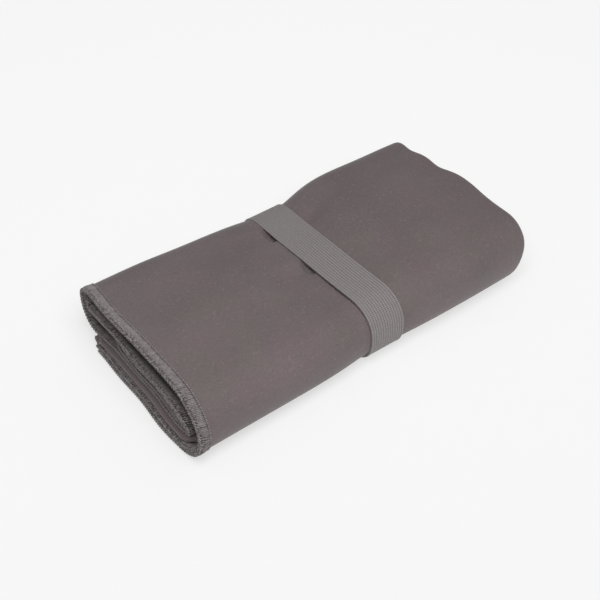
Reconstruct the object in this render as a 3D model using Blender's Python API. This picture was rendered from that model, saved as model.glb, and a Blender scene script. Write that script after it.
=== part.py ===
"""Quick dry towel, folded flat and held by a wide elastic band.

Frame: metres, +Z up. The origin is the centre of the footprint, on the surface that the bundle rests on.
+X runs along the bundle, from the end with the hems to the end with the folds. +Y points at the back edge.

The cloth is one sheet. Its 0.80 m length is folded into four plies, and this four-ply leaf is wound
into a flat spiral: bottom, front fold, top, back fold, middle, inner fold, inner end.
"""

import math

import bpy

# Driving dimensions
LENGTH = 0.200  # hem end to folded end, a quarter of the towel's length
WIDTH = 0.1055  # across the bundle beside the band
HEM_END_WIDTH = 0.1140  # across the loose end, where the hems spread the folds
HEIGHT = 0.0360
PLY_THICKNESS = 0.0015
PLY_PITCH = 0.00185
LEAF_SPACING = 0.0090  # between the centres of two leaves that lie on each other
HEM_WIDTH = 0.0050
GAP = 0.0003  # between pieces that touch
BAND_WIDTH = 0.020
BAND_THICKNESS = 0.0014
BAND_NEAR_X = -0.001  # the band's edge on the hem side
BAND_LAP = 0.014  # how far the band's two ends overlap
BAND_RAMP = 0.006  # run over which the upper end climbs onto the lower one
STITCH_THICKNESS = 0.0005
STITCH_REACH = 0.0012  # from the middle of a zigzag to its points
STITCH_MARGIN = 0.002  # from a zigzag's end to the band's edge
STITCHES = 14  # in a row
STITCH_ROWS_AT = (0.3, 0.75)  # shares of the lap
OUTER_EDGE_INSET = 0.0135  # from the back edge to the free edge of the bottom leaf
INNER_EDGE_INSET = 0.010  # from the back edge to the free edge of the innermost leaf

# Worked out from the driving dimensions
NEAR_X = -LENGTH / 2
FAR_X = LENGTH / 2
PLY_OFFSETS = [PLY_PITCH * step for step in (1.5, 0.5, -0.5, -1.5)]
HALF_LEAF = PLY_OFFSETS[0] + PLY_THICKNESS / 2
WAIST = BAND_THICKNESS + 1.2 * GAP  # how much slimmer the bundle is from the band to the folded end
WAIST_START_X = BAND_NEAR_X - 0.004
LAP_START_Z = HEIGHT * 0.62
LOOP_SAMPLES = 360  # points tried on the spiral for the band's outline
LOOP_STEP = 0.006  # the longest straight stretch of the band's outline
WAIST_END_X = BAND_NEAR_X - 0.001
FLARE = HEM_END_WIDTH / WIDTH - 1

BOTTOM_Z = HALF_LEAF
TOP_Z = HEIGHT - HALF_LEAF
MIDDLE_Z = BOTTOM_Z + LEAF_SPACING
INNER_Z = TOP_Z - LEAF_SPACING
FRONT_RADIUS = (TOP_Z - BOTTOM_Z) / 2
BACK_RADIUS = (TOP_Z - MIDDLE_Z) / 2
INNER_RADIUS = (INNER_Z - MIDDLE_Z) / 2
FRONT_Y = -WIDTH / 2 + HALF_LEAF + FRONT_RADIUS  # centre of the front and inner folds
BACK_Y = WIDTH / 2 - HALF_LEAF - BACK_RADIUS

CLOTH_COLOUR = (0.175, 0.148, 0.150, 1)
HEM_COLOUR = (0.240, 0.208, 0.208, 1)
BAND_COLOUR = (0.245, 0.220, 0.220, 1)


def clear_scene():
    for obj in list(bpy.data.objects):
        bpy.data.objects.remove(obj)


def material(name, colour, roughness):
    made = bpy.data.materials.new(name)
    made.use_nodes = True
    shader = made.node_tree.nodes["Principled BSDF"]
    shader.inputs["Base Color"].default_value = colour
    shader.inputs["Roughness"].default_value = roughness
    shader.inputs["Metallic"].default_value = 0
    return made


# The spiral. A stretch is (length, function of the share of it that is done, number of steps), and the
# function gives a point and the normal that faces out of the spiral, both in the YZ plane.


def straight(start_y, end_y, z, steps):
    side = 1 if end_y > start_y else -1  # the outer side is up on the way back and down on the way forward

    def place(share):
        return (start_y + (end_y - start_y) * share, z), (0, side)

    return abs(end_y - start_y), place, steps


def fold(centre_y, centre_z, radius, start, steps):
    """Half a turn clockwise, seen with +Y to the right, from the angle where it starts."""

    def place(share):
        angle = start - math.pi * share
        normal = math.cos(angle), math.sin(angle)
        return (centre_y + radius * normal[0], centre_z + radius * normal[1]), normal

    return math.pi * radius, place, steps


def spiral():
    outer_edge = WIDTH / 2 - OUTER_EDGE_INSET
    inner_edge = WIDTH / 2 - INNER_EDGE_INSET
    return [
        straight(outer_edge, FRONT_Y, BOTTOM_Z, 2),
        fold(FRONT_Y, (BOTTOM_Z + TOP_Z) / 2, FRONT_RADIUS, -math.pi / 2, 12),
        straight(FRONT_Y, BACK_Y, TOP_Z, 2),
        fold(BACK_Y, (TOP_Z + MIDDLE_Z) / 2, BACK_RADIUS, math.pi / 2, 10),
        straight(BACK_Y, FRONT_Y, MIDDLE_Z, 2),
        fold(FRONT_Y, (MIDDLE_Z + INNER_Z) / 2, INNER_RADIUS, -math.pi / 2, 8),
        straight(FRONT_Y, inner_edge, INNER_Z, 2),
    ]


SPIRAL = spiral()
SPIRAL_LENGTH = sum(length for length, _, _ in SPIRAL)


def at(run):
    """The leaf's centre and its outward normal, at a distance along the spiral from the outer edge."""
    for length, place, _ in SPIRAL:
        if run <= length:
            return place(run / length)
        run -= length
    return SPIRAL[-1][1](1)


def stations(start, end):
    """Distances along the spiral from start to end, close together in the folds."""
    runs, done = [], 0
    for length, _, steps in SPIRAL:
        runs += [done + length * step / steps for step in range(steps)]
        done += length
    return [start, *(run for run in runs if start + 1e-6 < run < end - 1e-6), end]


def shaped(x, y, z):
    """A point of the even bundle, moved to the waisted and flared one."""
    waist = min(1, max(0, (x - WAIST_START_X) / (WAIST_END_X - WAIST_START_X)))
    flare = max(0, (WAIST_START_X - x) / (WAIST_START_X - NEAR_X))
    y *= 1 - 2 * WAIST / WIDTH * waist
    y *= 1 + FLARE * flare
    z = WAIST * waist + z * (1 - 2 * WAIST / HEIGHT * waist)
    return x, y, z


# Sections. Each is a line of (x, offset from the leaf's centre, direction across it, half its thickness)
# that is swept along the spiral.


def flat_ply(offset, start_x, end_x):
    """One ply, with a point where the bundle narrows. Its left side faces out when it runs to +X."""
    side = 1 if end_x > start_x else -1
    between = [WAIST_START_X, WAIST_END_X][::side]
    return [(x, offset, 0, side, PLY_THICKNESS / 2) for x in (start_x, *between, end_x)]


def round_turn(x, start_offset, end_offset, direction, steps):
    """Half a circle from one ply to another, between the plies' own last and first points."""
    centre, radius = (start_offset + end_offset) / 2, (start_offset - end_offset) / 2
    line = []
    for step in range(1, steps):
        angle = math.pi * step / steps
        along, across = abs(math.sin(angle)) * direction, math.cos(angle)
        point = x + abs(radius) * along, centre + radius * across
        left = 1 if radius * direction > 0 else -1
        line.append((*point, left * along, left * across * (1 if radius > 0 else -1), PLY_THICKNESS / 2))
    return line


def folded_section(hem_x):
    """The four plies in one line: from one free end at hem_x to the folded end, back, to the folded end
    again and back to the other free end."""
    first, second, third, fourth = PLY_OFFSETS
    far = FAR_X - first - PLY_THICKNESS / 2
    near = NEAR_X + (PLY_PITCH + PLY_THICKNESS) / 2 + HEM_WIDTH / 4
    line = flat_ply(first, hem_x, far)
    line += round_turn(far, first, fourth, 1, 8)
    line += flat_ply(fourth, far, near)
    line += round_turn(near, fourth, third, -1, 6)
    line += flat_ply(third, near, far)
    line += round_turn(far, third, second, 1, 6)
    line += flat_ply(second, far, hem_x)
    return line


def hem_section(offset):
    """One overlocked edge: as thick as the ply, with a round outer edge."""
    half = PLY_THICKNESS / 2
    line = [(NEAR_X + HEM_WIDTH, offset, 0, -1, half), (NEAR_X + half, offset, 0, -1, half)]
    for angle in (0.5, 1.0, 1.35):
        line.append((NEAR_X + half - half * math.sin(angle), offset, 0, -1, half * math.cos(angle)))
    return line


def new_object(name, points, faces, finish, parent):
    mesh = bpy.data.meshes.new(name)
    mesh.from_pydata(points, [], faces)
    mesh.validate()
    mesh.shade_smooth()
    mesh.set_sharp_from_angle(angle=math.radians(40))
    mesh.materials.append(finish)
    made = bpy.data.objects.new(name, mesh)
    bpy.context.scene.collection.objects.link(made)
    made.parent = parent
    return made


def swept(name, rings, finish, parent):
    """A closed solid through rings of points. A ring's second half runs back beside its first half."""
    count = len(rings[0])
    last = (len(rings) - 1) * count
    faces = []
    for point in range(count // 2 - 1):
        opposite = count - 1 - point
        faces.append([opposite, opposite - 1, point + 1, point])
        faces.append([last + point, last + point + 1, last + opposite - 1, last + opposite])
    for ring in range(len(rings) - 1):
        low, high = ring * count, (ring + 1) * count
        for point in range(count):
            after = (point + 1) % count
            faces.append([low + point, low + after, high + after, high + point])
    return new_object(name, [point for ring in rings for point in ring], faces, finish, parent)


def along_spiral(name, line, start, end, finish, parent):
    left = [(x + way_x * half, offset + way_off * half) for x, offset, way_x, way_off, half in line]
    right = [(x - way_x * half, offset - way_off * half) for x, offset, way_x, way_off, half in line]
    outline = left + right[::-1]
    rings = []
    for run in stations(start, end):
        (y, z), (normal_y, normal_z) = at(run)
        rings.append([shaped(x, y + normal_y * offset, z + normal_z * offset) for x, offset in outline])
    return swept(name, rings, finish, parent)


def make_towel(parent, cloth, thread):
    inner_start = SPIRAL_LENGTH - HEM_WIDTH
    edge = HEM_WIDTH + GAP
    along_spiral("towel_cloth", folded_section(NEAR_X + edge), edge, inner_start - GAP, cloth, parent)
    along_spiral("long_side_hem_outer", folded_section(NEAR_X), 0, HEM_WIDTH, thread, parent)
    along_spiral("long_side_hem_inner", folded_section(NEAR_X), inner_start, SPIRAL_LENGTH, thread, parent)
    for name, offset in (("short_side_hem_outer", PLY_OFFSETS[0]), ("short_side_hem_inner", PLY_OFFSETS[1])):
        along_spiral(name, hem_section(offset), edge, inner_start - GAP, thread, parent)


# The band


def convex_outline(points):
    """The points round the outside, counter-clockwise, as a taut band touches them."""
    ordered = sorted(set(points))

    def chain(sequence):
        kept = []
        for point in sequence:
            while len(kept) > 1:
                (ay, az), (by, bz) = kept[-2:]
                if (by - ay) * (point[1] - az) - (bz - az) * (point[0] - ay) > 1e-12:
                    break
                kept.pop()
            kept.append(point)
        return kept[:-1]

    return chain(ordered) + chain(ordered[::-1])


def band_loop():
    """Points on the outside of the bundle's narrow half, clockwise seen with +Y to the right. The first is
    on the upper back, where the lap starts."""
    outer = []
    for step in range(LOOP_SAMPLES):
        (y, z), (normal_y, normal_z) = at(SPIRAL_LENGTH * step / LOOP_SAMPLES)
        _, y, z = shaped(FAR_X, y + normal_y * HALF_LEAF, z + normal_z * HALF_LEAF)
        outer.append((y, z))
    loop = convex_outline(outer)[::-1]
    first = min(range(len(loop)), key=lambda i: (loop[i][0] < 0, abs(loop[i][1] - LAP_START_Z)))
    return loop[first:] + loop[:first]


def spaced_loop(loop, longest):
    """(point, outward normal, distance round) with no step longer than longest, closed at its start."""
    closed = loop + loop[:1]
    normals = []
    for index in range(len(loop)):
        before, after = loop[index - 1], loop[(index + 1) % len(loop)]
        along = math.hypot(after[0] - before[0], after[1] - before[1])
        normals.append(((before[1] - after[1]) / along, (after[0] - before[0]) / along))
    normals.append(normals[0])
    found, done = [], 0
    for index in range(len(loop)):
        (ay, az), (by, bz) = closed[index], closed[index + 1]
        step_length = math.hypot(by - ay, bz - az)
        steps = max(1, math.ceil(step_length / longest))
        for step in range(steps):
            share = step / steps
            normal = [a + (b - a) * share for a, b in zip(normals[index], normals[index + 1], strict=True)]
            size = math.hypot(*normal)
            point = ay + (by - ay) * share, az + (bz - az) * share
            found.append((point, (normal[0] / size, normal[1] / size), done + step_length * share))
        done += step_length
    return found, done


def make_band(parent, elastic, thread):
    loop, round_it = spaced_loop(band_loop(), LOOP_STEP)
    lap = [(point, normal, run + round_it) for point, normal, run in loop if run < BAND_LAP]
    climb = BAND_THICKNESS + GAP
    near_x, far_x = BAND_NEAR_X, BAND_NEAR_X + BAND_WIDTH
    chamfer = BAND_THICKNESS / 4
    rings = []
    for (y, z), (normal_y, normal_z), run in loop + lap:
        rise = min(1, max(0, (run - round_it + BAND_RAMP) / BAND_RAMP))
        inner = GAP + climb * rise * rise * (3 - 2 * rise)
        outer = inner + BAND_THICKNESS
        section = [
            (near_x, outer - chamfer),
            (near_x + chamfer, outer),
            (far_x - chamfer, outer),
            (far_x, outer - chamfer),
            (far_x, inner + chamfer),
            (far_x - chamfer, inner),
            (near_x + chamfer, inner),
            (near_x, inner + chamfer),
        ]
        rings.append([(x, y + normal_y * off, z + normal_z * off) for x, off in section])
    swept("elastic_band", rings, elastic, parent)
    for number, share in enumerate(STITCH_ROWS_AT, start=1):
        stitch_row(f"join_stitch_{number}", loop, BAND_LAP * share, climb, thread, parent)


def stitch_row(name, loop, run, climb, thread, parent):
    """A zigzag of thread across the band, on the outer face of its lap."""
    (y, z), (normal_y, normal_z), _ = min(loop, key=lambda place: abs(place[2] - run))
    height = GAP + climb + BAND_THICKNESS + GAP + STITCH_THICKNESS / 2
    curve = bpy.data.curves.new(name, "CURVE")
    curve.dimensions = "3D"
    curve.bevel_depth = STITCH_THICKNESS / 2
    curve.bevel_resolution = 1
    curve.use_fill_caps = True
    line = curve.splines.new("POLY")
    line.points.add(STITCHES)
    for index, point in enumerate(line.points):
        x = BAND_NEAR_X + STITCH_MARGIN + (BAND_WIDTH - 2 * STITCH_MARGIN) * index / STITCHES
        side = STITCH_REACH if index % 2 else -STITCH_REACH
        point.co = (x, y + normal_y * height - normal_z * side, z + normal_z * height + normal_y * side, 1)
    curve.materials.append(thread)
    made = bpy.data.objects.new(name, curve)
    bpy.context.scene.collection.objects.link(made)
    made.parent = parent


def empty(name):
    made = bpy.data.objects.new(name, None)
    bpy.context.scene.collection.objects.link(made)
    return made


def main():
    clear_scene()
    cloth = material("microfibre", CLOTH_COLOUR, 0.9)
    thread = material("hem_thread", HEM_COLOUR, 0.85)
    elastic = material("elastic", BAND_COLOUR, 0.8)
    make_towel(empty("towel"), cloth, thread)
    make_band(empty("band"), elastic, thread)


main()
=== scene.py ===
"""Looks of the quick dry towel: suede cloth folded flat, overlocked hems and a ribbed elastic band.

Frame: metres, +Z up. +X runs from the hem end to the folded end, +Y points at the back edge.
The cloth is one sheet. Its length is folded into four plies, and this four-ply leaf is wound into a flat
spiral: bottom, front fold, top, back fold, middle, inner fold, inner end.
"""

import math
from typing import NamedTuple

import bpy
import numpy as np
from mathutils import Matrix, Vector


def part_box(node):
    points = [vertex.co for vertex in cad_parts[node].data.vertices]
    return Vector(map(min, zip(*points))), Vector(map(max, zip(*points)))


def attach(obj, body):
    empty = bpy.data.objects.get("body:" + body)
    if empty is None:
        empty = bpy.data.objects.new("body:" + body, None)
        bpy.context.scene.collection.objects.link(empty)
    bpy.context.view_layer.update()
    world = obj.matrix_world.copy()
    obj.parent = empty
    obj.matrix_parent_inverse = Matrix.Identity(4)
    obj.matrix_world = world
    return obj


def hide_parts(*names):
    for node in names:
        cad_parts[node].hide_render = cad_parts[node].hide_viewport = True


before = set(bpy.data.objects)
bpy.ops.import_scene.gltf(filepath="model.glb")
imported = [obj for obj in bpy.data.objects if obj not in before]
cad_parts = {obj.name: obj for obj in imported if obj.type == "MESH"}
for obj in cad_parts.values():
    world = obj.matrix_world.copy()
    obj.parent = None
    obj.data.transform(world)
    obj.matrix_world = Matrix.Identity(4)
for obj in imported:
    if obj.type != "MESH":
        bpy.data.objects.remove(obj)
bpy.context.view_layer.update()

MM = 0.001
_, cloth_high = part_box("towel_cloth")
band_low, band_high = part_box("elastic_band")
hem_low, hem_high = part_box("short_side_hem_outer")

NEAR_X = hem_low.x
FAR_X = cloth_high.x
HEM_WIDTH = hem_high.x - hem_low.x
BAND_NEAR_X = band_low.x
BAND_FAR_X = band_high.x
BAND_X = (BAND_NEAR_X + BAND_FAR_X) / 2
BAND_WIDTH = BAND_FAR_X - BAND_NEAR_X

PLY = 1.25 * MM  # thickness of one layer of the cloth
HEM_THICKNESS = 2.0 * MM
BED_HALF = HEM_THICKNESS / 2 * 0.86  # half the thickness of the dense thread under the stitches

# Shape of the bundle
BACK_HALF_WIDTH = 51.6 * MM  # cloth under the band
FRONT_HALF_WIDTH = 48.8 * MM
BAND_HEIGHT = 34.6 * MM
BACK_FLARE = 4.8 * MM  # how much further out the back is at the hem end
FRONT_FLARE = 1.6 * MM
BACK_NEAR_SWELL = 0.5 * MM  # swelling of the sides beside the band, on its hem side
FRONT_NEAR_SWELL = 2.3 * MM
BACK_FAR_SWELL = 3.7 * MM
FRONT_FAR_SWELL = 1.9 * MM
NEAR_RISE = 1.6 * MM  # how much higher the top is beside the band than under it
FAR_RISE = 4.2 * MM
BOTTOM = 1.45 * MM  # the cloth's underside over the floor: room for the hems and the band
NEAR_GAP = 5.2 * MM  # hollow under the top leaf at the hem end
FAR_GAP = 0.8 * MM  # the same at the folded end
LEAF_GAP = 0.25 * MM  # between leaves that lie on each other
OUTER_EDGE_INSET = 17.5 * MM  # from the back edge to the free edge of the bottom leaf
INNER_EDGE_INSET = 10 * MM  # the same for the innermost leaf
FRONT_SQUARENESS = 0.84  # power of the fold's sine and cosine: 1 is a half circle
BACK_SQUARENESS = 0.92
BAND_SKEW = 2.4 * MM  # how far the band's back is towards the hem end, and its front away from it
BAND_BOW = 1.4 * MM  # how far its middle is towards the hem end of a straight line
INNER_LIFT = 3.2 * MM  # the innermost leaf rises to the top leaf at the back
DOME = 1.3 * MM  # how much the middle of the top rises over its sides
FULL_HEIGHT = 36 * MM  # where a point counts as fully at the top
HALF_ACROSS = 54 * MM  # where a point counts as fully at the side

# Colours and light
CLOTH_COLOUR = (0.168, 0.138, 0.141, 1)
HEM_COLOUR = (0.262, 0.230, 0.232, 1)
BAND_COLOUR = (0.262, 0.238, 0.238, 1)
FLOOR_COLOUR = (0.42, 0.42, 0.42, 1)
FLOOR_GLOW = 0.741  # far from the key light
KEY_SHARE = 0.25  # less glow right under the key light, which lights the floor itself there
KEY_PLACE = (-0.16, -0.30, 0.62)
HORIZON = 0.10  # brightness of the surroundings, lowest and highest
ZENITH = 0.40
HOLLOW_SHADE = 0.3  # share of their colour that cloth and thread keep inside the hollow at the hem end: painted shade, where little light gets in
HOLLOW_LEVEL = 23.5 * MM  # height of the middle of what is darkened


def smooth(value):
    value = np.clip(value, 0, 1)
    return value * value * (3 - 2 * value)


def rising(place, start, length):
    """0 up to start, 1 from start + length on, and a smooth step between."""
    return smooth((place - start) / length)


def tinted(colour, share):
    return (*(channel * share for channel in colour[:3]), 1)


def beyond_band(x):
    """0 under the band, rising to 1 away from it on either side."""
    away = np.maximum(0, np.abs(x - BAND_X) - BAND_WIDTH / 2)
    return 1 - np.exp(-((away / (15 * MM)) ** 1.4))


def near_share(x):
    return np.clip((BAND_NEAR_X - x) / (BAND_NEAR_X - NEAR_X), 0, 1.1)


def far_share(x):
    return np.clip((x - BAND_FAR_X) / (FAR_X - BAND_FAR_X), 0, 1.1)


def half_width(x, at_band, near_swell, far_swell, flare):
    near, far = near_share(x), far_share(x)
    swell = np.where(near > 0, near_swell, far_swell)
    return at_band + swell * beyond_band(x) + flare * near**1.2 - 1.2 * MM * far**3


def band_skew(y):
    across = y / BACK_HALF_WIDTH
    return -BAND_SKEW * across - BAND_BOW * (1 - across * across)


def height(x):
    near, far = near_share(x), far_share(x)
    rise = np.where(near > 0, NEAR_RISE, FAR_RISE)
    return BAND_HEIGHT + rise * beyond_band(x) + 0.8 * MM * near - 1.0 * MM * far**4


def hollow(x):
    near, far = near_share(x), far_share(x)
    return 1.5 * MM + (NEAR_GAP - 1.5 * MM) * smooth(near * 2 - 1) + (FAR_GAP - 1.5 * MM) * smooth(far * 2)


class Bundle:
    """The spiral's levels and folds at each of an array of x."""

    def __init__(self, x):
        self.half_leaf = (height(x) - BOTTOM - 2 * LEAF_GAP - hollow(x)) / 8
        self.pitch = (self.half_leaf - PLY / 2) / 1.5
        self.bottom = self.half_leaf + BOTTOM
        self.top = height(x) - self.half_leaf
        self.middle = self.bottom + 2 * self.half_leaf + LEAF_GAP
        self.inner = self.middle + 2 * self.half_leaf + LEAF_GAP
        self.back_side = half_width(x, BACK_HALF_WIDTH, BACK_NEAR_SWELL, BACK_FAR_SWELL, BACK_FLARE)
        front_side = half_width(x, FRONT_HALF_WIDTH, FRONT_NEAR_SWELL, FRONT_FAR_SWELL, FRONT_FLARE)
        self.front_radius = (self.top - self.bottom) / 2
        self.back_radius = (self.top - self.middle) / 2
        self.inner_radius = (self.inner - self.middle) / 2
        self.front = -front_side + self.half_leaf + self.front_radius
        self.back = self.back_side - self.half_leaf - self.back_radius

    def straight(self, start, end, level, share):
        y = start + (end - start) * share
        side = np.where(end > start, 1.0, -1.0)
        return y, level + 0 * y, 0 * y, side

    def fold(self, centre_y, centre_z, radius, start, share, squareness=1.0):
        share -= (1 - squareness) * 0.12 * math.sin(2 * math.pi * share)  # evens out the steps along it
        angle = start - math.pi * share
        across = math.copysign(abs(math.cos(angle)) ** squareness, math.cos(angle))
        up = math.copysign(abs(math.sin(angle)) ** squareness, math.sin(angle))
        return centre_y + radius * across, centre_z + radius * up, across, up

    def place(self, stretch, share):
        """Centre and outward normal of the leaf, share of the way along one stretch of the spiral."""
        if stretch == 0:
            return self.straight(self.back_side - OUTER_EDGE_INSET, self.front, self.bottom, share)
        if stretch == 1:
            centre = (self.bottom + self.top) / 2
            return self.fold(self.front, centre, self.front_radius, -math.pi / 2, share, FRONT_SQUARENESS)
        if stretch == 2:
            return self.straight(self.front, self.back, self.top, share)
        if stretch == 3:
            centre = (self.top + self.middle) / 2
            return self.fold(self.back, centre, self.back_radius, math.pi / 2, share, BACK_SQUARENESS)
        if stretch == 4:
            return self.straight(self.back, self.front, self.middle, share)
        if stretch == 5:
            centre = (self.middle + self.inner) / 2
            return self.fold(self.front, centre, self.inner_radius, -math.pi / 2, share)
        edge = self.back_side - INNER_EDGE_INSET
        y, z, normal_y, normal_z = self.straight(self.front, edge, self.inner, share)
        lift = INNER_LIFT * smooth((y - 4 * MM) / (28 * MM))
        return y, z + lift, normal_y, normal_z


STRETCH_LENGTHS = [72 * MM, 52 * MM, 74 * MM, 38 * MM, 74 * MM, 18 * MM, 78 * MM]
STRETCH_STEPS = (24, 24, 70, 18, 20, 12, 22)
SPIRAL_LENGTH = sum(STRETCH_LENGTHS)


def stretch_at(run):
    """(stretch, share of it) at a nominal distance along the spiral."""
    for number, length in enumerate(STRETCH_LENGTHS):
        if run <= length or number == len(STRETCH_LENGTHS) - 1:
            return number, min(1.0, run / length)
        run -= length


def waves(*terms):
    """A sum of sines: terms of (amplitude, phase, argument)."""
    return sum(size * np.sin(argument + phase) for size, phase, argument in terms)


class Slit(NamedTuple):
    """A deep dent under the band's edge on its hem side, with a crease running out of it."""

    front: float
    back: float
    depth: float
    turned: float  # how far the crease turns to the back per length


class Pucker(NamedTuple):
    """A shallow crease running out of the band's other edge."""

    place: float
    depth: float
    turned: float  # how far it turns to the front per length


SLITS = (Slit(23.5 * MM, 36 * MM, 3.3 * MM, 0.26), Slit(-7 * MM, 4 * MM, 2.7 * MM, 0.1))
PUCKERS = (Pucker(26 * MM, 1.4 * MM, -0.3), Pucker(-3 * MM, 0.6 * MM, 0.3))
CREASE_DEPTH = 1.9 * MM
RIDGE_HEIGHT = 0.9 * MM  # of the cloth pushed up behind each crease


def shape_folded_end(x, y, z, up):
    """Moves it out at the top and towards the front, and gives it slow ripples."""
    far = smooth((x - 45 * MM) / (55 * MM))
    front = smooth((26 * MM - y) / (34 * MM))
    back = smooth((y + 5 * MM) / (30 * MM))
    top = smooth(up * 1.2)
    x += far * front * (4.6 * MM * top - 0.8 * MM * (1 - top))
    x += far * waves((0.8 * MM * back, 1.9, y / MM * 0.235), (0.5 * MM, 2.6, y / MM * 0.09))
    z += far * up * waves((0.7 * MM, 0.2, y / MM * 0.115), (0.5 * MM * back, 1.2, y / MM * 0.235))


def shape_hem_end(x, y, z, up, side):
    """Draws in the top's back corner, and gives the end slow ripples."""
    near = smooth((-x - 40 * MM) / (60 * MM))
    x += near * (1.6 * MM * up * smooth(side) + 0.6 * MM * (1 - up))
    x += near * waves((0.4 * MM, 0.3, y / MM * 0.06 + up * 2.0), (0.25 * MM, 1.7, y / MM * 0.17 + up * 5))
    z += near * up * waves((0.5 * MM, 2.4, y / MM * 0.085))


def press_slits(x, y, z, top, edge):
    """Presses the slits in under the band's edge, deepest at their front ends."""
    out = edge - x
    for slit in SLITS:
        before_back = smooth((slit.back - y) / (slit.back - slit.front - 3 * MM))
        after_front = smooth((y - slit.front + 3 * MM) / (4.5 * MM))
        beside = np.where(out > 0, smooth(1 - out / (3.4 * MM)), smooth((out + 10 * MM) / (5 * MM)))
        z -= slit.depth * top * beside * (before_back * after_front)
        valley = (y - slit.front - 2 * MM - slit.turned * out) / (4.8 * MM)
        reach = smooth(out / (3 * MM) + 0.4) * smooth((25 * MM - out) / (22 * MM))
        z -= CREASE_DEPTH * top * reach * np.exp(-(valley * valley))
        ridge = (y - slit.front - 8.5 * MM - slit.turned * out) / (5.5 * MM)
        z += RIDGE_HEIGHT * top * reach * np.exp(-(ridge * ridge))


def press_puckers(x, y, z, top, edge):
    out = x - (edge + BAND_WIDTH)
    for pucker in PUCKERS:
        valley = (y - pucker.place + pucker.turned * out) / (4.5 * MM)
        reach = smooth((26 * MM - out) / (24 * MM)) * smooth(out / MM + 3)
        z -= pucker.depth * top * reach * np.exp(-(valley * valley))


def relax(points):
    """Moves points of the even bundle to the soft one: domed, wavy, pinched beside the band."""
    x, y, z = points[..., 0].copy(), points[..., 1].copy(), points[..., 2].copy()
    up = np.clip(z / FULL_HEIGHT, 0, 1.1)
    side = y / HALF_ACROSS
    z += DOME * up * (1 - np.clip(side * side, 0, 1.2))
    z += up * waves((0.35 * MM, 0.4, y / MM * 0.075), (0.3 * MM, 2.1, x / MM * 0.06 + y / MM * 0.04))
    shape_folded_end(x, y, z, up)
    shape_hem_end(x, y, z, up, side)
    top = smooth(up * 1.6 - 0.6)
    edge = BAND_NEAR_X + band_skew(y)
    press_slits(x, y, z, top, edge)
    press_puckers(x, y, z, top, edge)
    uneven = waves((1, 0.7, x / MM * 0.11 + y / MM * 0.05), (0.7, 2.2, y / MM * 0.16 - x / MM * 0.07))
    z += 0.35 * MM * top * uneven
    return np.stack([x, y, z], axis=-1)


# Points along the cloth's length: four plies between the hem end and the folded end


def x_shares():
    """Shares from the hem end to the folded end, closer together at the ends and beside the band."""
    near_edge = (BAND_NEAR_X - NEAR_X) / (FAR_X - NEAR_X)
    far_edge = (BAND_FAR_X - NEAR_X) / (FAR_X - NEAR_X)
    parts = [
        np.linspace(0, 0.06, 5, endpoint=False),
        np.linspace(0.06, near_edge - 0.08, 18, endpoint=False),
        np.linspace(near_edge - 0.08, near_edge - 0.035, 6, endpoint=False),
        np.linspace(near_edge - 0.035, near_edge + 0.035, 26, endpoint=False),
        np.linspace(near_edge + 0.035, far_edge - 0.02, 4, endpoint=False),
        np.linspace(far_edge - 0.02, far_edge + 0.08, 8, endpoint=False),
        np.linspace(far_edge + 0.08, 1, 16),
    ]
    return np.concatenate(parts)


X_SHARES = x_shares()
HEM_PLIES = (1.5, 0.5)  # places of the two plies with hems in the leaf, in plies out from its middle
FAR_FOLD_REACH = 3.45 * MM  # how far the folds between plies stand out past the plies' ends
NEAR_FOLD_REACH = 1.4 * MM
INSIDE_FOLD_REACH = 1.1 * MM


def hem_edge_x(run, ply):
    """Where the outermost point of a hem is. The places are mm along the spiral, as in STRETCH_LENGTHS."""
    wander = waves((0.3, 0.5 + ply, run / MM * 0.05), (0.15, 2.0 * ply, run / MM * 0.13))
    place = run / MM
    top_leaf = rising(place, 84, 24) * (1 - rising(place, 240, 16))
    recess = 0.0 if ply > 1 else 0.35 + 4.2 * top_leaf
    bottom_leaf = 1 - rising(place, 70, 30)
    inside = 1.6 * rising(place, 192, 25) + 0.8 * rising(place, 234, 20)
    inside -= 2.6 * rising(place, 310, 18)
    return NEAR_X + (0.5 - 1.5 * bottom_leaf + recess + wander + inside) * MM


def near_fold_x(run):
    """Where the smooth inner fold is: well behind the hems, except in the bottom leaf."""
    place = run / MM
    bottom_leaf = 1 - rising(place, 74, 18)
    return NEAR_X + (8.0 - 7.4 * bottom_leaf + 0.3 * math.sin(place * 0.06)) * MM


def ply_line(run):
    """(x, place in plies from the leaf's middle, direction across in x and in offset) along the cloth."""
    hem_1, hem_2 = (hem_edge_x(run, ply) + 0.6 * MM for ply in HEM_PLIES)
    far = FAR_X - FAR_FOLD_REACH
    near = near_fold_x(run) + 1.2 * MM
    line = []

    def ply(place, start, end):
        shares = X_SHARES if end > start else X_SHARES[::-1]
        low, high = min(start, end), max(start, end)
        for share in shares:
            line.append((low + (high - low) * share, place, 0.0, 1.0 if end > start else -1.0))

    def turn(x, first, last, direction, steps, bulge):
        middle, radius = (first + last) / 2, (first - last) / 2
        for step in range(1, steps):
            angle = math.pi * step / steps
            left = 1 if radius * direction > 0 else -1
            reach_x = direction * bulge * math.sin(angle)
            normal = (left * direction * math.sin(angle), left * math.cos(angle) * math.copysign(1, radius))
            line.append((x + reach_x, middle + radius * math.cos(angle), *normal))

    ply(1.5, hem_1, far)
    turn(far, 1.5, -1.5, 1, 12, FAR_FOLD_REACH)
    ply(-1.5, far, near)
    turn(near, -1.5, -0.5, -1, 8, NEAR_FOLD_REACH)
    ply(-0.5, near, far)
    turn(far, -0.5, 0.5, 1, 8, INSIDE_FOLD_REACH)
    ply(0.5, far, hem_2)
    return np.array(line)


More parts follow.
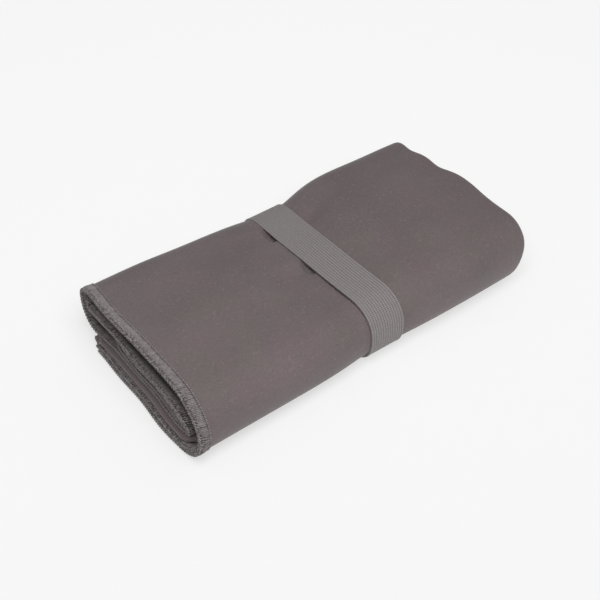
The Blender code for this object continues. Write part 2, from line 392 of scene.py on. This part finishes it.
def leaf_points(run, line, lift):
    """Points of the soft bundle: line gives x and place in plies, lift the distance out from there."""
    x = line[:, 0]
    bundle = Bundle(x)
    y, z, normal_y, normal_z = bundle.place(*stretch_at(run))
    offset = line[:, 1] * bundle.pitch + lift
    return np.stack([x, y + normal_y * offset, z + normal_z * offset], axis=-1)


def new_mesh(name, points, faces, body, finish):
    mesh = bpy.data.meshes.new(name)
    mesh.from_pydata([tuple(p) for p in np.asarray(points, float)], [], faces)
    mesh.validate()
    mesh.shade_smooth()
    mesh.materials.append(finish)
    made = bpy.data.objects.new(name, mesh)
    bpy.context.scene.collection.objects.link(made)
    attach(made, body)
    return made


def ring_faces(rings, count, closed=True, flip=False):
    """Quads between rings of count points each; closed joins each ring's last point to its first."""
    faces = []
    for ring in range(rings - 1):
        for point in range(count if closed else count - 1):
            after = (point + 1) % count
            low, high = ring * count, (ring + 1) * count
            quad = (low + point, low + after, high + after, high + point)
            faces.append(quad[::-1] if flip else quad)
    return faces


def ladder_cap(start, count, flip):
    """Quads across the end of a swept strip whose second half of points runs back beside the first."""
    faces = []
    for point in range(count // 2 - 1):
        opposite = count - 1 - point
        quad = (start + opposite, start + opposite - 1, start + point + 1, start + point)
        faces.append(quad[::-1] if flip else quad)
    return faces


def spiral_runs():
    """Nominal distances along the spiral, closer together in the folds."""
    runs, done = [], 0
    for length, steps in zip(STRETCH_LENGTHS, STRETCH_STEPS, strict=True):
        runs += [done + length * step / steps for step in range(steps)]
        done += length
    return runs + [done]


def make_cloth(finish):
    rings = []
    for run in spiral_runs():
        line = ply_line(run)
        left, right = line.copy(), line.copy()
        left[:, 0] += line[:, 2] * PLY / 2
        right[:, 0] -= line[:, 2] * PLY / 2
        left = leaf_points(run, left, line[:, 3] * PLY / 2)
        right = leaf_points(run, right, -line[:, 3] * PLY / 2)
        rings.append(np.concatenate([left, right[::-1]]))
    count = len(rings[0])
    points = relax(np.concatenate(rings))
    faces = ladder_cap(0, count, False) + ladder_cap((len(rings) - 1) * count, count, True)
    faces += ring_faces(len(rings), count)
    return new_mesh("soft_cloth", points, faces, "towel", finish)


# Threads


def tube_mesh(paths, radius, sides=6):
    """Points and faces of tubes along paths, each an array of points."""
    points, faces, first = [], [], 0
    angles = np.arange(sides) * 2 * math.pi / sides
    for path in paths:
        path = np.asarray(path)
        along = np.gradient(path, axis=0)
        along /= np.maximum(np.linalg.norm(along, axis=1, keepdims=True), 1e-12)
        across = np.cross(along, (0.31, 0.23, 0.92))
        across /= np.maximum(np.linalg.norm(across, axis=1, keepdims=True), 1e-12)
        other = np.cross(along, across)
        size = np.full(len(path), radius)
        size[0] = size[-1] = radius * 0.35
        for at, (centre, a, b) in enumerate(zip(path, across, other, strict=True)):
            for angle in angles:
                points.append(centre + size[at] * (a * math.cos(angle) + b * math.sin(angle)))
        for ring in range(len(path) - 1):
            for side in range(sides):
                low, high = first + ring * sides, first + (ring + 1) * sides
                after = (side + 1) % sides
                faces.append((low + side, low + after, high + after, high + side))
        faces.append(tuple(first + side for side in reversed(range(sides))))
        faces.append(tuple(first + (len(path) - 1) * sides + side for side in range(sides)))
        first += len(path) * sides
    return np.array(points), faces


STITCH_PITCH = 1.55 * MM
THREAD = 0.37 * MM  # radius
NEEDLE_LINE = HEM_WIDTH * 1.03  # distance in from the edge of the straight row of stitches
NEEDLE_DASH = ((0.8, -0.1), (0.55, 0.22), (0.25, 0.22), (0, -0.1))  # pitches back, mm over the cloth
CORD_LEVELS = (0.32, -0.22)  # of the two looping threads, in thicknesses of the hem
# A stitch of a long hem: mm in from the edge, mm over the ply's middle, mm further along
LONG_HEM_STITCH = (
    (4.2, 0.55, -0.9), (2.6, 1.0, -0.6), (1.2, 1.1, -0.3), (0.2, 0.95, 0), (-0.7, 0.5, 0.1),
    (-0.95, 0, 0.2), (-0.7, -0.5, 0.3), (0.4, -1.0, 0.6), (2.2, -1.0, 0.9), (3.8, -0.6, 1.2),
)


def hem_path(ply, points):
    """Places on the hem: points of (run, distance in from the edge, height over the ply's middle)."""
    placed = []
    for run, inward, lift in points:
        run = min(max(run, 0), SPIRAL_LENGTH)
        line = np.array([[hem_edge_x(run, ply) + inward, ply]])
        placed.append(leaf_points(run, line, lift)[0])
    return relax(np.array(placed))


def hem_stitch(ply, run, wobble, whole):
    """An overlock stitch's threads over both faces. A whole one goes round the edge between them."""
    half = HEM_THICKNESS / 2
    lean = STITCH_PITCH * 0.8
    inner = HEM_WIDTH * (0.97 + 0.03 * wobble)
    path = [
        (run - lean, inner, PLY / 2 - 0.1 * MM),
        (run - lean * 0.75, inner * 0.8, half * 0.8),
        (run - lean * 0.45, inner * 0.5, half * 0.98),
        (run - lean * 0.15, inner * 0.2, half * 1.0),
        (run, 0.0, half * 0.72),
    ]
    under = [
        (run + 0.3 * MM, 0.0, -half * 0.72),
        (run + lean * 0.5, inner * 0.3, -half * 0.98),
        (run + lean * 0.9, inner * 0.9, -PLY / 2 + 0.1 * MM),
    ]
    if whole:
        round_edge = [(run + 0.1 * MM, -0.35 * MM, half * 0.3), (run + 0.2 * MM, -0.35 * MM, -half * 0.3)]
        return [hem_path(ply, path + round_edge + under)]
    return [hem_path(ply, path), hem_path(ply, under)]


def edge_cord(ply, lift):
    """A looping thread along the edge, over the stitches that go round it."""
    steps = []
    for step in range(int(SPIRAL_LENGTH / STITCH_PITCH * 5)):
        angle = step * 2 * math.pi / 5
        run = step * STITCH_PITCH / 5
        steps.append((run, -0.5 * MM - 0.16 * MM * math.sin(angle), lift + 0.26 * MM * math.cos(angle)))
    return hem_path(ply, steps)


def hem_bed(ply, name, finish):
    """The dense thread under the stitches: a rounded strip along the edge."""
    outline = [
        (HEM_WIDTH * 0.97, PLY / 2 + 0.05 * MM),
        (HEM_WIDTH * 0.6, BED_HALF),
        (HEM_WIDTH * 0.3, BED_HALF),
        (0.4 * MM, BED_HALF * 0.96),
    ]
    for step in range(1, 6):
        angle = math.pi * step / 6
        outline.append((0.3 * MM - BED_HALF * 0.8 * math.sin(angle), BED_HALF * 0.96 * math.cos(angle)))
    outline += [(inward, -lift) for inward, lift in outline[:4][::-1]]
    runs = np.linspace(0, SPIRAL_LENGTH, 300)
    rings = []
    for run in runs:
        edge = hem_edge_x(run, ply)
        line = np.array([[edge + inward, ply] for inward, _ in outline])
        rings.append(leaf_points(run, line, np.array([lift for _, lift in outline])))
    count = len(outline)
    points = relax(np.concatenate(rings))
    faces = ring_faces(len(rings), count, flip=True)
    faces.append(tuple(range(count)))
    faces.append(tuple((len(rings) - 1) * count + point for point in reversed(range(count))))
    return new_mesh(name, points, faces, "towel", finish)


def make_short_hem(ply, name, bed_shade_finish, thread_finish):
    random = np.random.default_rng(7 + int(ply * 2))
    stitches, needle = [], []
    cords = [edge_cord(ply, level * HEM_THICKNESS) for level in CORD_LEVELS]
    count = int(SPIRAL_LENGTH / STITCH_PITCH)
    for number in range(count):
        run = (number + 0.5) * STITCH_PITCH + random.normal(0, 0.08 * MM)
        stitches += hem_stitch(ply, run, random.normal(0, 1), True)
        stitches += hem_stitch(ply, run + STITCH_PITCH / 2, random.normal(0, 1), False)
        dash = [(run - STITCH_PITCH * back, NEEDLE_LINE, PLY / 2 + lift * MM) for back, lift in NEEDLE_DASH]
        needle.append(hem_path(ply, dash))
    bed = hem_bed(ply, name + "_bed", bed_shade_finish)
    points, faces = tube_mesh(stitches + cords + needle, THREAD)
    threads = new_mesh(name + "_threads", points, faces, "towel", thread_finish)
    return bed, threads


def make_long_hem(run, way, name, bed_shade_finish, thread_finish):
    """The edge that crosses the spiral's end: its four plies, out to the folded end and back, twice."""
    line = ply_line(run)
    outline = [(3.5 * MM, PLY / 2 + 0.05 * MM), (1.5 * MM, BED_HALF), (0.3 * MM, BED_HALF)]
    for step in range(1, 6):
        angle = math.pi * step / 6
        outline.append((-BED_HALF * 0.8 * math.sin(angle), BED_HALF * math.cos(angle)))
    outline += [(inward, -lift) for inward, lift in outline[:3][::-1]]
    columns = []
    for inward, lift in outline:
        moved = line.copy()
        moved[:, 0] += line[:, 2] * lift
        points = leaf_points(run, moved, line[:, 3] * lift)
        points[:, 1] -= way * inward
        columns.append(points)
    points = relax(np.stack(columns, axis=1).reshape(-1, 3))
    count = len(outline)
    faces = ring_faces(len(line), count, flip=way < 0)
    end = (len(line) - 1) * count
    caps = [tuple(reversed(range(count))), tuple(end + point for point in range(count))]
    faces += [cap[::-1] for cap in caps] if way < 0 else caps
    bed = new_mesh(name + "_bed", points, faces, "towel", bed_shade_finish)

    centre = leaf_points(run, line, 0 * line[:, 0])
    steps = np.linalg.norm(np.diff(centre, axis=0), axis=1)
    done = np.concatenate([[0], np.cumsum(steps)])
    stitches = []
    for number in range(int(done[-1] / STITCH_PITCH)):
        path = []
        for inward, lift, ahead in LONG_HEM_STITCH:
            at = np.clip((number + 0.5) * STITCH_PITCH + ahead * MM, 0, done[-1])
            here = [np.interp(at, done, line[:, column]) for column in range(4)]
            moved = np.array([[here[0] + here[2] * lift * MM, here[1]]])
            point = leaf_points(run, moved, here[3] * lift * MM)[0]
            point[1] -= way * inward * MM
            path.append(point)
        stitches.append(relax(np.array(path)))
    points, faces = tube_mesh(stitches, THREAD)
    threads = new_mesh(name + "_threads", points, faces, "towel", thread_finish)
    return bed, threads


# The elastic band

BAND_THICKNESS = 0.7 * MM
BAND_CLEARANCE = 0.15 * MM  # between the band and the cloth, and between the two layers of the lap
BAND_LAP = 14 * MM
BAND_RAMP = 6 * MM  # length over which the upper end rises onto the lower one
BAND_STEP = 0.8 * MM
ROUTE_SMOOTHING = 6
RIBS = 14
RIB_HEIGHT = 0.4 * MM
EDGE_RIB = 1.35  # how much higher the ribs at both edges are
RIB_FADE = 0.6  # share of the ribs' height lost towards the back, where the band is stretched smoother
JOIN_PLACES = (0.3, 0.75)  # of the two rows of stitches, as shares of the lap
JOIN_ZIGZAGS = 16
JOIN_THREAD = 0.25 * MM  # radius


def hull(points):
    """Corners round the outside of 2-D points, clockwise."""
    ordered = sorted(map(tuple, points))

    def chain(sequence):
        kept = []
        for p in sequence:
            while len(kept) > 1:
                a, b = kept[-2], kept[-1]
                if (b[0] - a[0]) * (p[1] - a[1]) - (b[1] - a[1]) * (p[0] - a[0]) > 0:
                    break
                kept.pop()
            kept.append(p)
        return kept[:-1]

    return np.array((chain(ordered) + chain(ordered[::-1]))[::-1])


def band_route(cloth):
    """The band's inner outline, clockwise from the upper back: even steps, with outward normals."""
    points = np.array([v.co for v in cloth.data.vertices])
    under = points[(points[:, 0] > BAND_NEAR_X + 2 * MM) & (points[:, 0] < BAND_FAR_X - 2 * MM)]
    corners = hull(under[:, 1:])
    from_start = np.where(corners[:, 0] > 0, np.abs(corners[:, 1] - BAND_HEIGHT * 0.62), np.inf)
    start = int(np.argmin(from_start))
    corners = np.roll(corners, -start, axis=0)
    closed = np.vstack([corners, corners[:1]])
    done = np.concatenate([[0], np.cumsum(np.linalg.norm(np.diff(closed, axis=0), axis=1))])
    count = int(done[-1] / BAND_STEP)
    even = np.linspace(0, done[-1], count, endpoint=False)
    loop = np.stack([np.interp(even, done, closed[:, axis]) for axis in (0, 1)], axis=1)
    for _ in range(ROUTE_SMOOTHING):
        loop = (np.roll(loop, 1, axis=0) + 2 * loop + np.roll(loop, -1, axis=0)) / 4
    along = np.roll(loop, -1, axis=0) - np.roll(loop, 1, axis=0)
    along /= np.linalg.norm(along, axis=1, keepdims=True)
    normals = np.stack([-along[:, 1], along[:, 0]], axis=1)
    return loop, normals, done[-1] / count


def band_section():
    """(x, height over the inner face, rib height) round the band: ribs outside, cords at both edges."""
    outer = []
    per_rib = 6
    total = RIBS * per_rib
    for step in range(total + 1):
        share = step / total
        x = BAND_NEAR_X + BAND_WIDTH * share
        rib = abs(math.sin(math.pi * share * RIBS)) ** 0.7
        rise = RIB_HEIGHT * rib
        if share < 1 / RIBS or share > 1 - 1 / RIBS:
            rise *= EDGE_RIB
        outer.append((x, BAND_THICKNESS, rise))
    inner = [(x, 0.0, 0.0) for x, _, _ in outer[::per_rib][::-1]]
    return outer + inner


def make_band(loop, normals, step_length, finish):
    section = band_section()
    count = len(loop)
    lap_steps = int(BAND_LAP / step_length)
    total = count * step_length
    rings, runs = [], []
    for number in range(count + lap_steps):
        at = number % count
        run = number * step_length
        rise = smooth((run - total + BAND_RAMP) / BAND_RAMP)
        lift = BAND_CLEARANCE + rise * (BAND_THICKNESS + RIB_HEIGHT * EDGE_RIB + BAND_CLEARANCE)
        waver = 0.25 * MM * math.sin(run / MM * 0.055 + 1.0)
        plain = 1 - RIB_FADE * smooth((loop[at][0] - 2 * MM) / (22 * MM))
        for x, up, rib in section:
            y, z = loop[at] + normals[at] * (lift + up + rib * plain)
            rings.append((x + waver + band_skew(y), y, z))
        runs.append(run)
    ring = len(section)
    faces = ring_faces(count + lap_steps, ring)
    faces.append(tuple(reversed(range(ring))))
    end = (count + lap_steps - 1) * ring
    faces.append(tuple(end + point for point in range(ring)))
    band = new_mesh("ribbed_band", rings, faces, "band", finish)
    widths = np.array([x - BAND_NEAR_X for x, _, _ in section])
    where = np.stack([np.repeat(runs, ring), np.tile(widths, len(runs))], axis=1)
    uv = band.data.uv_layers.new(name="weave")
    corners = np.zeros(len(band.data.loops), int)
    band.data.loops.foreach_get("vertex_index", corners)
    uv.data.foreach_set("uv", (where[corners] * 100).astype(np.float32).ravel())
    return band


def make_join_stitches(loop, normals, step_length, finish):
    made = []
    lift = 2 * (BAND_THICKNESS + RIB_HEIGHT * EDGE_RIB) + 0.5 * MM
    steps = JOIN_ZIGZAGS * 4
    for number, share in enumerate(JOIN_PLACES, start=1):
        at = BAND_LAP * share / step_length
        path = []
        for step in range(steps + 1):
            phase = step / 4
            swing = 1 - abs((phase % 2) - 1) * 2
            index = int(round(at + swing * 1.2 * MM / step_length))
            x = BAND_NEAR_X + 1.5 * MM + (BAND_WIDTH - 3 * MM) * step / steps
            dip = 0.12 * MM * (1 if step % 4 == 0 else 0)
            y, z = loop[index] + normals[index] * (lift - dip)
            path.append((x + band_skew(y), y, z))
        points, faces = tube_mesh([path], JOIN_THREAD)
        made.append(new_mesh(f"join_zigzag_{number}", points, faces, "band", finish))
    return made


# Materials


class Nodes:
    """Short names for building one node tree."""

    def __init__(self, name):
        self.material = bpy.data.materials.new(name)
        self.material.use_nodes = True
        self.tree = self.material.node_tree
        self.shader = self.tree.nodes["Principled BSDF"]

    def add(self, kind, **settings):
        node = self.tree.nodes.new(kind)
        for name, value in settings.items():
            setattr(node, name, value)
        return node

    def link(self, output, target):
        self.tree.links.new(output, target)

    def coordinates(self):
        return self.add("ShaderNodeTexCoord").outputs["Object"]

    def uv(self, name):
        return self.add("ShaderNodeUVMap", uv_map=name).outputs["UV"]

    def noise(self, where, scale, detail=2.0, roughness=0.5):
        node = self.add("ShaderNodeTexNoise")
        node.inputs["Scale"].default_value = scale
        node.inputs["Detail"].default_value = detail
        node.inputs["Roughness"].default_value = roughness
        self.link(where, node.inputs["Vector"])
        return node.outputs["Fac"]

    def ramp(self, value, *stops):
        """stops are (position, grey or colour)."""
        node = self.add("ShaderNodeValToRGB")
        elements = node.color_ramp.elements
        while len(elements) < len(stops):
            elements.new(0.5)
        for element, (position, colour) in zip(elements, stops, strict=True):
            element.position = position
            element.color = colour if hasattr(colour, "__len__") else (colour, colour, colour, 1)
        self.link(value, node.inputs["Fac"])
        return node.outputs["Color"]

    def math(self, operation, a, b):
        node = self.add("ShaderNodeMath", operation=operation)
        for socket, value in zip(node.inputs, (a, b), strict=False):
            if isinstance(value, (int, float)):
                socket.default_value = value
            else:
                self.link(value, socket)
        return node.outputs[0]

    def blend(self, kind, factor, a, b):
        node = self.add("ShaderNodeMix", data_type="RGBA", blend_type=kind)
        for socket, value in ((node.inputs[0], factor), (node.inputs[6], a), (node.inputs[7], b)):
            if isinstance(value, (int, float, tuple)):
                socket.default_value = value
            else:
                self.link(value, socket)
        return node.outputs[2]

    def share(self, value, start, length):
        """0 at start and 1 at start + length, held outside them. The length may be negative."""
        scaled = self.math("MULTIPLY", self.math("SUBTRACT", value, start), 1 / length)
        return self.ramp(scaled, (0, 0.0), (1, 1.0))

    def hollow_shade(self):
        """1 outside, falling to HOLLOW_SHADE behind the hems' edges in the hollow at the hem end: painted
        shade, where little light gets in.
        """
        axes = self.add("ShaderNodeSeparateXYZ")
        self.link(self.coordinates(), axes.inputs[0])
        x, y, z = (axes.outputs[axis] for axis in "XYZ")
        inward = self.share(x, NEAR_X + 1.8 * MM, 2.6 * MM)
        from_level = self.math("ABSOLUTE", self.math("SUBTRACT", z, HOLLOW_LEVEL), 0.0)
        level = self.share(from_level, 8.5 * MM, -1.5 * MM)
        across = self.share(self.math("ABSOLUTE", y, 0.0), 48 * MM, -3 * MM)
        at_hem_end = self.share(x, NEAR_X + 42 * MM, -12 * MM)
        inside = self.math("MULTIPLY", inward, level)
        inside = self.math("MULTIPLY", inside, self.math("MULTIPLY", across, at_hem_end))
        return self.ramp(inside, (0, 1.0), (1, HOLLOW_SHADE))

    def bump(self, height_value, distance, strength):
        node = self.add("ShaderNodeBump")
        node.inputs["Strength"].default_value = strength
        node.inputs["Distance"].default_value = distance
        self.link(height_value, node.inputs["Height"])
        self.link(node.outputs["Normal"], self.shader.inputs["Normal"])

    def finish(self, colour, roughness, sheen=0.0, sheen_roughness=0.5):
        self.link(colour, self.shader.inputs["Base Color"])
        self.shader.inputs["Roughness"].default_value = roughness
        self.shader.inputs["Sheen Weight"].default_value = sheen
        self.shader.inputs["Sheen Roughness"].default_value = sheen_roughness
        self.shader.inputs["Specular IOR Level"].default_value = 0.25
        return self.material


def suede():
    nodes = Nodes("suede")
    where = nodes.coordinates()
    cloudy = nodes.ramp(nodes.noise(where, 28, 3), (0.3, 0.93), (0.7, 1.06))
    tint = nodes.ramp(
        nodes.noise(where, 45, 2), (0.35, (0.98, 1.0, 0.97, 1)), (0.65, (1.03, 0.98, 1.0, 1))
    )
    nap = nodes.noise(where, 1500, 3, 0.65)
    grain = nodes.ramp(nap, (0.3, 0.84), (0.7, 1.16))
    flecks = nodes.ramp(nodes.noise(where, 620, 1), (0.62, 0.0), (0.74, 1.0))
    colour = nodes.blend("MULTIPLY", 1.0, CLOTH_COLOUR, cloudy)
    colour = nodes.blend("MULTIPLY", 1.0, colour, tint)
    colour = nodes.blend("MULTIPLY", 1.0, colour, grain)
    colour = nodes.blend("MIX", nodes.math("MULTIPLY", flecks, 0.4), colour, tinted(CLOTH_COLOUR, 1.45))
    # Painted shade inside the hollow at the hem end.
    colour = nodes.blend("MULTIPLY", 1.0, colour, nodes.hollow_shade())
    nodes.bump(nap, 0.12 * MM, 0.7)
    return nodes.finish(colour, 0.95, 0.25, 0.45)


def thread(name, colour_value, spread):
    nodes = Nodes(name)
    where = nodes.coordinates()
    fibre = nodes.noise(where, 2600, 2)
    patches = nodes.ramp(nodes.noise(where, 420, 1), (0.35, 1 - spread), (0.65, 1 + spread))
    colour = nodes.blend("MULTIPLY", 1.0, colour_value, patches)
    colour = nodes.blend("MULTIPLY", 1.0, colour, nodes.ramp(fibre, (0.3, 0.85), (0.7, 1.12)))
    place = nodes.add("ShaderNodeSeparateXYZ")
    nodes.link(where, place.inputs[0])
    inward = nodes.math("MULTIPLY", nodes.math("SUBTRACT", place.outputs["X"], NEAR_X), 1 / HEM_WIDTH)
    at_edge = nodes.ramp(inward, (0.2, 0.95), (0.65, 0.2))
    specks = nodes.ramp(nodes.noise(where, 1050, 1), (0.4, 0.4), (0.58, 1.12))
    colour = nodes.blend("MULTIPLY", at_edge, colour, specks)
    # Painted shade inside the hollow at the hem end.
    colour = nodes.blend("MULTIPLY", 1.0, colour, nodes.hollow_shade())
    nodes.bump(fibre, 0.08 * MM, 0.6)
    return nodes.finish(colour, 0.85, 0.2)


def elastic():
    nodes = Nodes("elastic_knit")
    where = nodes.uv("weave")
    knit = nodes.add("ShaderNodeTexWave", wave_type="BANDS", bands_direction="X")
    knit.inputs["Scale"].default_value = 3.6
    knit.inputs["Distortion"].default_value = 1.2
    knit.inputs["Detail"].default_value = 1
    knit.inputs["Detail Scale"].default_value = 4
    nodes.link(where, knit.inputs["Vector"])
    ticks = nodes.ramp(knit.outputs["Fac"], (0.1, 0.8), (0.7, 1.1))
    fibre = nodes.noise(nodes.coordinates(), 1800, 2)
    across = nodes.add("ShaderNodeSeparateXYZ")
    nodes.link(where, across.inputs[0])
    phase = nodes.math("MULTIPLY", across.outputs["Y"], math.pi * RIBS / (BAND_WIDTH * 100))
    ridge = nodes.math("ABSOLUTE", nodes.math("SINE", phase, 0.0), 0.0)
    # Painted shade in the grooves between the ribs and painted highlight on the ribs' tops.
    groove_shade_and_highlight = nodes.ramp(ridge, (0.1, 0.6), (0.65, 1.12))
    place = nodes.add("ShaderNodeSeparateXYZ")
    nodes.link(nodes.coordinates(), place.inputs[0])
    # How strong the painted groove shade and highlight are: weaker towards the back, where the band is
    # stretched and its ribs are flatter.
    stretched = nodes.ramp(nodes.math("MULTIPLY", place.outputs["Y"], 25), (0.0, 0.9), (0.7, 0.2))
    colour = nodes.blend("MULTIPLY", 1.0, BAND_COLOUR, ticks)
    colour = nodes.blend("MULTIPLY", stretched, colour, groove_shade_and_highlight)
    colour = nodes.blend("MULTIPLY", 1.0, colour, nodes.ramp(fibre, (0.3, 0.9), (0.7, 1.08)))
    nodes.bump(nodes.math("ADD", knit.outputs["Fac"], fibre), 0.1 * MM, 0.6)
    return nodes.finish(colour, 0.8, 0.15)


def floor_material():
    """Paper that glows too, less near the key light, so that it looks even and its shadows are faint."""
    nodes = Nodes("floor_paper")
    grain = nodes.noise(nodes.coordinates(), 40, 1)
    colour = nodes.blend("MULTIPLY", 1.0, FLOOR_COLOUR, nodes.ramp(grain, (0.3, 0.995), (0.7, 1.0)))
    nodes.shader.inputs["Emission Color"].default_value = (1, 1, 1, 1)
    away = nodes.add("ShaderNodeVectorMath", operation="DISTANCE")
    away.inputs[1].default_value = (KEY_PLACE[0], KEY_PLACE[1], 0)
    nodes.link(nodes.coordinates(), away.inputs[0])
    slope = nodes.math("POWER", nodes.math("MULTIPLY", away.outputs["Value"], 1 / KEY_PLACE[2]), 2.0)
    key_light = nodes.math("MULTIPLY", nodes.math("POWER", nodes.math("ADD", slope, 1.0), -2.0), KEY_SHARE)
    nodes.link(nodes.math("SUBTRACT", FLOOR_GLOW, key_light), nodes.shader.inputs["Emission Strength"])
    return nodes.finish(colour, 1.0)


# The set


def make_floor(finish):
    bpy.ops.mesh.primitive_plane_add(size=12)
    floor = bpy.context.object
    floor.name = "floor"
    floor.data.materials.append(finish)


def area_light(name, place, aim, size, power):
    data = bpy.data.lights.new(name, "AREA")
    data.shape = "DISK"
    data.size = size
    data.energy = power
    made = bpy.data.objects.new(name, data)
    made.location = place
    made.rotation_euler = (Vector(aim) - Vector(place)).to_track_quat("-Z", "Y").to_euler()
    bpy.context.scene.collection.objects.link(made)


def make_lights():
    world = bpy.data.worlds.new("studio")
    bpy.context.scene.world = world
    world.use_nodes = True
    tree = world.node_tree
    background = tree.nodes["Background"]
    background.inputs["Strength"].default_value = 1.0
    place = tree.nodes.new("ShaderNodeTexCoord")
    axes = tree.nodes.new("ShaderNodeSeparateXYZ")
    shade = tree.nodes.new("ShaderNodeValToRGB")
    shade.color_ramp.elements[0].color = (HORIZON, HORIZON, HORIZON, 1)
    shade.color_ramp.elements[1].color = (ZENITH, ZENITH, ZENITH, 1)
    tree.links.new(place.outputs["Generated"], axes.inputs[0])
    tree.links.new(axes.outputs["Z"], shade.inputs["Fac"])
    tree.links.new(shade.outputs["Color"], background.inputs["Color"])
    area_light("key", KEY_PLACE, (-0.03, 0, 0), 0.5, 3.3)
    bpy.context.scene.view_settings.view_transform = "Standard"


CAMERA_AZIMUTH = -36.7
CAMERA_ELEVATION = 44.0
CAMERA_DISTANCE = 0.657
CAMERA_AIM = Vector((-0.0047, 0.0001, 0.0122))
CAMERA_LENS = 78.0


def make_camera():
    data = bpy.data.cameras.new("camera")
    data.lens = CAMERA_LENS
    data.sensor_width = 36
    camera = bpy.data.objects.new("camera", data)
    azimuth, elevation = math.radians(CAMERA_AZIMUTH), math.radians(CAMERA_ELEVATION)
    back = Vector((
        math.sin(azimuth) * math.cos(elevation),
        -math.cos(azimuth) * math.cos(elevation),
        math.sin(elevation),
    ))
    camera.location = CAMERA_AIM + back * CAMERA_DISTANCE
    camera.rotation_euler = (-back).to_track_quat("-Z", "Y").to_euler()
    bpy.context.scene.collection.objects.link(camera)
    bpy.context.scene.camera = camera


def main():
    make_camera()
    make_lights()
    make_floor(floor_material())
    # The beds under the stitches are painted darker than their thread: painted shade between the stitches,
    # deepest in the short hems.
    bed_shade_finish = thread("hem_bed", tinted(HEM_COLOUR, 0.3), 0.25)
    edge_bed_shade_finish = thread("edge_bed", tinted(HEM_COLOUR, 0.7), 0.15)
    thread_finish = thread("hem_thread", HEM_COLOUR, 0.12)

    cloth = make_cloth(suede())
    outer = make_short_hem(HEM_PLIES[0], "outer_short_hem", bed_shade_finish, thread_finish)
    inner = make_short_hem(HEM_PLIES[1], "inner_short_hem", bed_shade_finish, thread_finish)
    free_edge = make_long_hem(0, -1, "outer_long_hem", edge_bed_shade_finish, thread_finish)
    hidden_edge = make_long_hem(SPIRAL_LENGTH, -1, "inner_long_hem", edge_bed_shade_finish, thread_finish)
    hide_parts("towel_cloth")
    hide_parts("short_side_hem_outer")
    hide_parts("short_side_hem_inner")
    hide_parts("long_side_hem_outer")
    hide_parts("long_side_hem_inner")

    loop, normals, step_length = band_route(cloth)
    band = make_band(loop, normals, step_length, elastic())
    stitches = make_join_stitches(loop, normals, step_length, thread_finish)
    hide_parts("elastic_band")
    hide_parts("join_stitch_1")
    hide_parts("join_stitch_2")


main()
